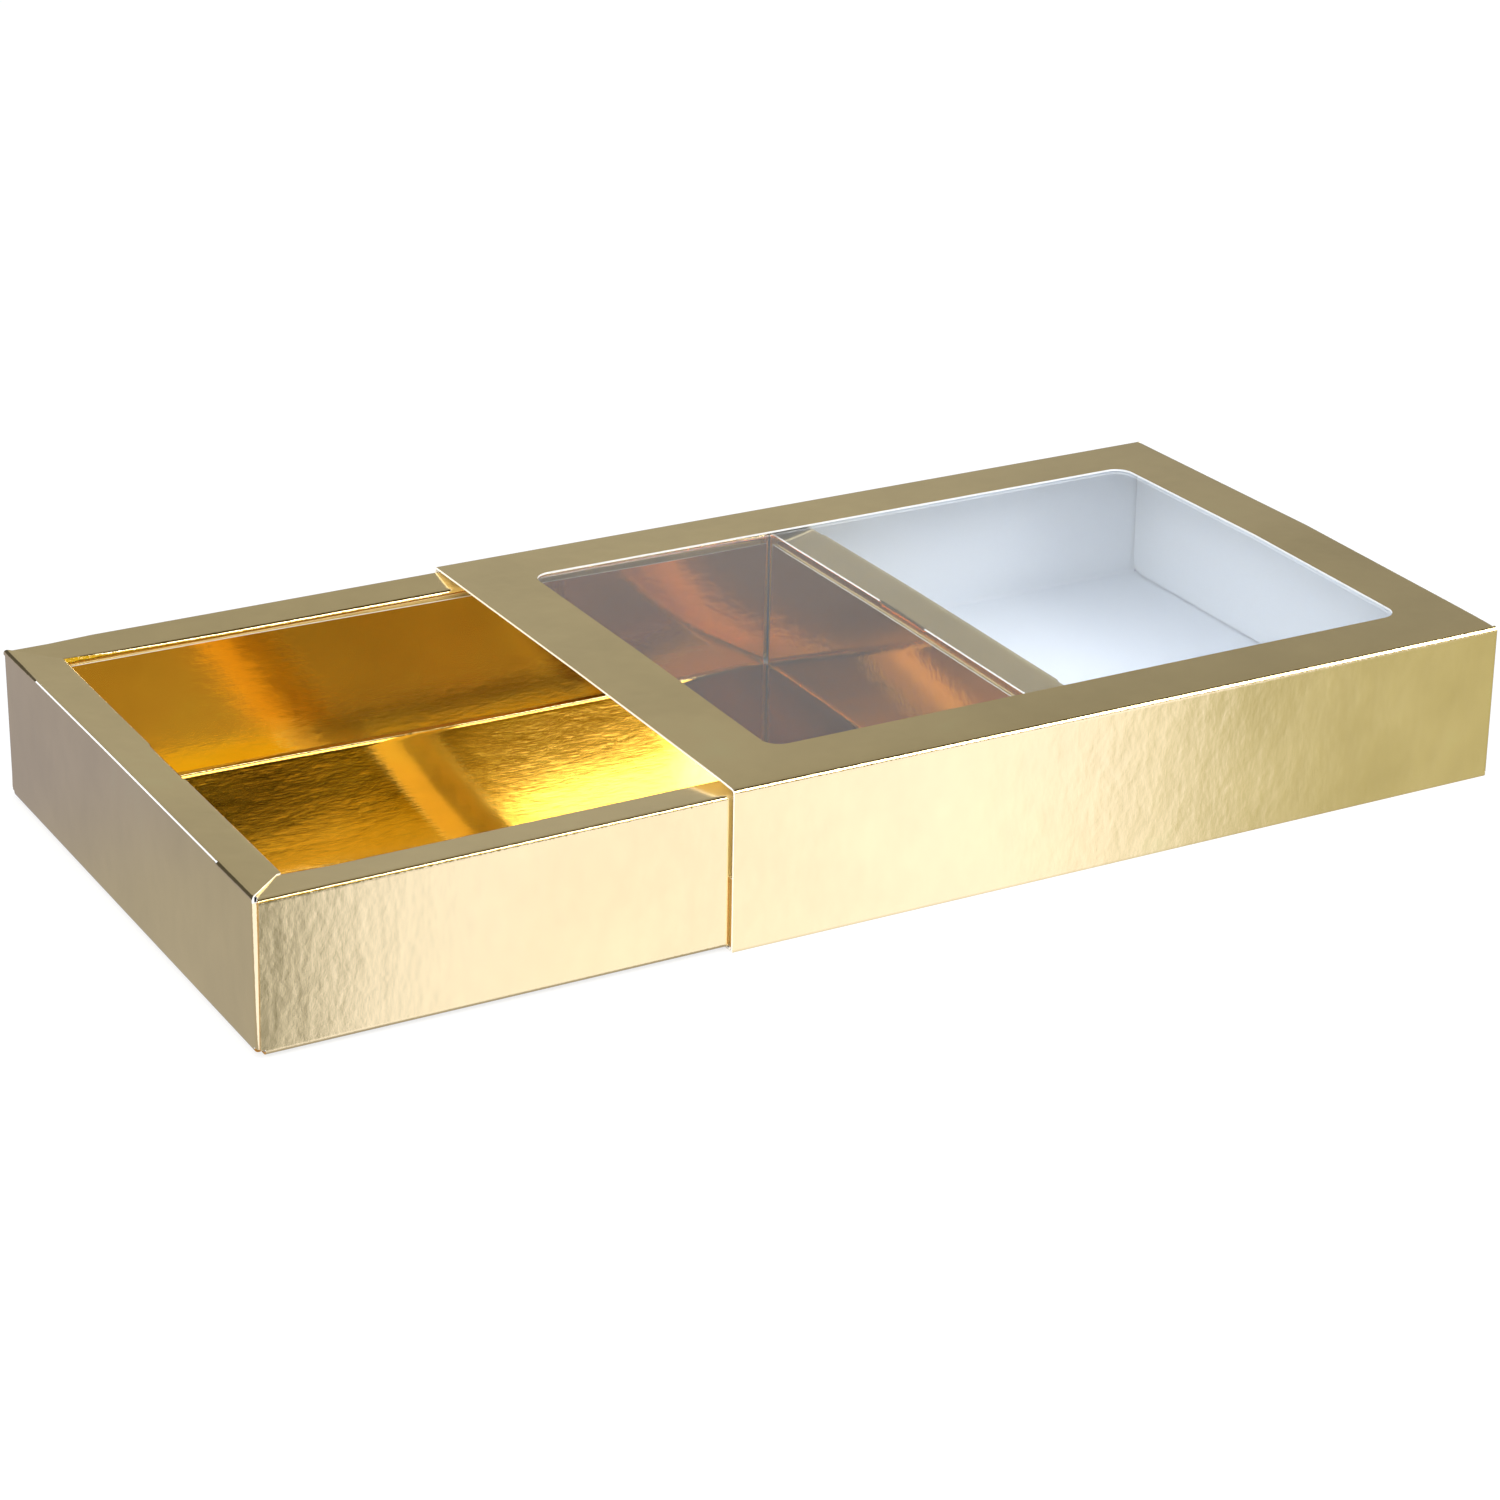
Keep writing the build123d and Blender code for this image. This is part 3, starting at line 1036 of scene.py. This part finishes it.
# %% Directions in the studio
world = bpy.data.worlds.new("studio")
world.use_nodes = True
bpy.context.scene.world = world
studio = world.node_tree
calc, both, ramp = makers(studio)
degree = math.radians(1)
direction = studio.nodes.new("ShaderNodeTexCoord")
split = studio.nodes.new("ShaderNodeSeparateXYZ")
studio.links.new(direction.outputs["Generated"], split.inputs["Vector"])
azimuth = calc("ARCTAN2", split.outputs["X"], both(split.outputs["Y"], -1.0))
elevation = calc("ARCSINE", split.outputs["Z"])


def rise(value, low, high, start=0.0, end=1.0):
    """A smooth change of level between two angles in degrees."""
    return ramp(value, low * degree, high * degree, start, end)


def band(value, low, full, fading, gone, top=1.0):
    """A level that rises between two angles and fades again between two others."""
    return both(rise(value, low, full), rise(value, gone, fading, 0.0, top))


# %% [markdown]
# The wall in front of the box is lit up to an edge about 29 degrees high, which tilts from side to side
# and has a brighter rim on its right part. Over the edge it is nearly black at the left and dim at the
# right. The wall behind the box is grey. Seen from the camera, the top panel and the ledges mirror the
# wall behind, and the liner, by way of its floor and its far wall, mirrors the one in front.

# %% The walls of the studio
left_tilt = rise(azimuth, 0, 10, 2.6 * degree, 0.0)
far_left_tilt = rise(azimuth, -28, -18, 1.0 * degree, 0.0)
right_tilt = rise(azimuth, 22.2, 23.2, 0.0, 0.5 * degree)
tilted = calc("ADD", calc("ADD", elevation, right_tilt), calc("ADD", left_tilt, far_left_tilt))
under_edge = rise(tilted, 29.3, 28.9)
over_edge = calc("SUBTRACT", 1.0, under_edge)
dim_level = both(rise(azimuth, 24.3, 25.4, 0.02, 0.26), rise(elevation, 33, 36, 1.0, 0.2))
lit_level = both(rise(elevation, 9, 12, 0.3, 0.8), rise(elevation, 22, 27, 1.0, 0.74))
lit_sides = both(rise(azimuth, 24.3, 25.4, 1.0, 0.6), rise(azimuth, -28, -18, 0.45, 1.0))
lit_wall = both(both(under_edge, lit_level), lit_sides)
rim_height = both(under_edge, rise(tilted, 28.2, 28.7))
rim = both(rim_height, band(azimuth, 14, 18, 22.2, 22.9, 0.7))
front_wall = calc("ADD", calc("ADD", lit_wall, rim), both(over_edge, dim_level))
back_wall = both(rise(azimuth, 144, 151, 0.30, 0.36), rise(azimuth, 90, 100, 0.25, 1.0))
back_wall = both(back_wall, rise(elevation, 21, 19.5, 1.0, 1.12))
in_front = band(azimuth, -110, -100, 100, 110)
in_back = calc("SUBTRACT", 1.0, in_front)
walls = calc("ADD", both(in_front, front_wall), both(in_back, back_wall))

# %% [markdown]
# Three lamps stand in front of the walls: a large soft key lamp at the front right, a low strip at its
# left, and a small lamp high up, which round folds mirror as white lines. What is dim in the front part
# of the studio has a warm colour, and what is bright is nearly white.

# %% The lamps that foil mirrors
key_lamp = both(band(azimuth, 31, 34, 84, 92), band(elevation, 10, 14, 45, 50, 9.0))
strip_lamp = both(band(azimuth, 24.3, 25.4, 36, 40), band(elevation, 20.5, 23, 27.1, 27.9, 6.0))
fold_lamp = both(band(azimuth, 21, 24, 32, 35), band(elevation, 36, 38, 46, 49, 6.5))
level = calc("ADD", calc("ADD", walls, strip_lamp), calc("ADD", key_lamp, fold_lamp))
warm = both(in_front, ramp(level, 1.8, 0.8))
green = both(level, calc("SUBTRACT", 1.0, both(warm, 0.3)))
blue = both(level, calc("SUBTRACT", 0.95, both(warm, 0.92)))

# %% [markdown]
# The near walls mirror what lies below the horizon: a table, dark at the left, with its bright part
# between 23 and 35 degrees. It is written by direction too, because the foil's relief then shows in it as
# soft mottling, which a table of one even tone would hide.

# %% The table that foil mirrors
below = rise(elevation, 0, -2)
above = calc("SUBTRACT", 1.0, below)
table = both(rise(azimuth, 22.4, 22.8, 0.10, 1.0), rise(azimuth, 25, 33, 1.02, 1.21))
table = calc("ADD", table, both(rise(azimuth, 22.8, 23.2, 0.0, 0.25), rise(azimuth, 27, 24.5)))
table = both(table, both(rise(azimuth, 31, 34.5, 1.0, 1.1), rise(azimuth, 35.2, 36.4, 1.0, 0.39)))
table = calc("MAXIMUM", table, rise(azimuth, 14, 6, 0.0, 1.2))
table_green = both(table, rise(azimuth, 35, 38, 1.05, 1.0))
table_blue = both(table, ramp(table, 0.45, 1.3, 0.68, 1.39))

# %% [markdown]
# Now each kind of ray gets its own world. Mirrored rays see the studio. Rays that left paper and then met
# foil see the plain soft sky instead, which keeps the paper free of specks. The sky is stronger for them,
# because real lamps would shine on the foil as well.

# %% What each kind of ray sees
studio_color = studio.nodes.new("ShaderNodeCombineColor")
channels = (("Red", level, table), ("Green", green, table_green), ("Blue", blue, table_blue))
for channel, sky, ground in channels:
    value = calc("ADD", both(above, sky), both(below, ground))
    studio.links.new(value, studio_color.inputs[channel])
shine = studio.nodes.new("ShaderNodeBackground")
studio.links.new(studio_color.outputs["Color"], shine.inputs["Color"])
rays = studio.nodes.new("ShaderNodeLightPath").outputs
glossy = rays["Is Glossy Ray"]
on_paper = calc("GREATER_THAN", rays["Diffuse Depth"], 0.5)
soft = studio.nodes.new("ShaderNodeBackground")
soft.inputs["Color"].default_value = (0.92, 0.945, 1.0, 1)
studio.links.new(calc("ADD", 1.15, both(both(glossy, above), 1.65)), soft.inputs["Strength"])
pale = studio.nodes.new("ShaderNodeBackground")
in_foil = both(glossy, calc("SUBTRACT", 1.0, on_paper))
mirrored = blend(studio, in_foil, soft.outputs["Background"], shine.outputs["Background"])
seen = blend(studio, rays["Is Camera Ray"], mirrored, pale.outputs["Background"])
studio.links.new(seen, studio.nodes["World Output"].inputs["Surface"])
print("studio of", len(studio.nodes), "nodes")

# %% [markdown]
# The floor is white paper that keeps the box's shadow. A share of plain glow lifts it to white for the
# camera. Mirrored rays see it as a grey table behind the near wall. In front of the near wall they pass
# through it, to the table that the world holds.

# %% The floor
def floor_material():
    """White paper for the camera, grey or open for mirrored rays."""
    material, tree = new_material("studio floor")
    tree.nodes.remove(tree.nodes["Principled BSDF"])
    calc, both, ramp = makers(tree)
    place = tree.nodes.new("ShaderNodeTexCoord")
    split = tree.nodes.new("ShaderNodeSeparateXYZ")
    tree.links.new(place.outputs["Object"], split.inputs["Vector"])
    y = split.outputs["Y"]
    before_box = ramp(y, (near + 1) * mm, (near - 1) * mm)
    grey = ramp(y, -0.020, 0.070, 0.42, 0.36)
    blue = both(grey, calc("ADD", ramp(y, 0.000, 0.070, 0.10, 0.35), 0.95))
    table_color = tree.nodes.new("ShaderNodeCombineColor")
    for channel, value in (("Red", grey), ("Green", grey), ("Blue", blue)):
        tree.links.new(value, table_color.inputs[channel])
    table_glow = tree.nodes.new("ShaderNodeEmission")
    tree.links.new(table_color.outputs["Color"], table_glow.inputs["Color"])
    through = tree.nodes.new("ShaderNodeBsdfTransparent")
    mirrored = blend(tree, before_box, table_glow.outputs["Emission"], through.outputs["BSDF"])
    paper_white = tree.nodes.new("ShaderNodeBsdfDiffuse")
    paper_white.inputs["Color"].default_value = (0.9, 0.9, 0.9, 1)
    glow = tree.nodes.new("ShaderNodeEmission")
    rays = tree.nodes.new("ShaderNodeLightPath").outputs
    glow_share = both(rays["Is Camera Ray"], 0.75)
    lit = blend(tree, glow_share, paper_white.outputs["BSDF"], glow.outputs["Emission"])
    seen = blend(tree, rays["Is Glossy Ray"], lit, mirrored)
    tree.links.new(seen, tree.nodes["Material Output"].inputs["Surface"])
    return material


floor_size = 6.0
floor_side = (-floor_size / 2, floor_size / 2)
floor = laid_out("studio_floor", rectangle(floor_side, floor_side, 0), [floor_material()])
print("floor", floor_size, "m square")

# %% [markdown]
# Two real area lamps light the paper and make the shadow on the floor. Foil and film don't mirror them,
# because the studio above already has its own lamps for that.

# %% Lamps
def area_lamp(name, place, size, power, color=(1, 1, 1)):
    """A large soft lamp, aimed at the middle of the box. Sizes in metres, power in watts."""
    data = bpy.data.lights.new(name, "AREA")
    data.shape = "SQUARE"
    data.size = size
    data.energy = power
    data.color = color
    lamp = bpy.data.objects.new(name, data)
    bpy.context.scene.collection.objects.link(lamp)
    lamp.location = place
    lamp.rotation_euler = (-Vector(place)).to_track_quat("-Z", "Y").to_euler()
    lamp.visible_glossy = False
    lamp.visible_transmission = False
    print(name, "lamp", power, "W")


area_lamp("key", place=(0.75, -0.75, 0.9), size=0.7, power=6)
area_lamp("fill", place=(-0.9, -0.5, 0.7), size=0.9, power=6, color=(0.95, 0.98, 1.0))

# %% [markdown]
# The camera stands where the photograph was taken from. Its place, direction and focal length come from
# fitting the real edges of the box to the picture. Its angles are in radians: the azimuth from +Y, how
# far it looks down, and how far it rolls.

# %% Camera and render settings
camera_place = Vector((-338.77, -594.37, 308.04)) * mm
camera_azimuth = 0.51554
camera_down = 0.41477
camera_roll = 0.01696
ahead = Vector((
    math.sin(camera_azimuth) * math.cos(camera_down),
    math.cos(camera_azimuth) * math.cos(camera_down),
    -math.sin(camera_down),
))
level_right = Vector((math.cos(camera_azimuth), -math.sin(camera_azimuth), 0))
level_up = level_right.cross(ahead)
camera_right = level_right * math.cos(camera_roll) + level_up * math.sin(camera_roll)
camera_up = level_up * math.cos(camera_roll) - level_right * math.sin(camera_roll)
camera_data = bpy.data.cameras.new("camera")
camera_data.sensor_width = 36
camera_data.lens = 97.647
camera_data.clip_start = 0.01
camera = bpy.data.objects.new("camera", camera_data)
bpy.context.scene.collection.objects.link(camera)
turn = Matrix((camera_right, camera_up, -ahead)).transposed().to_4x4()
camera.matrix_world = Matrix.Translation(camera_place) @ turn
scene = bpy.context.scene
scene.camera = camera
scene.view_settings.view_transform = "Standard"
scene.cycles.max_bounces = 14
scene.cycles.glossy_bounces = 8
scene.cycles.transmission_bounces = 8
scene.cycles.transparent_max_bounces = 8
print("camera", [round(v, 3) for v in camera.location], "lens", round(camera_data.lens, 1))
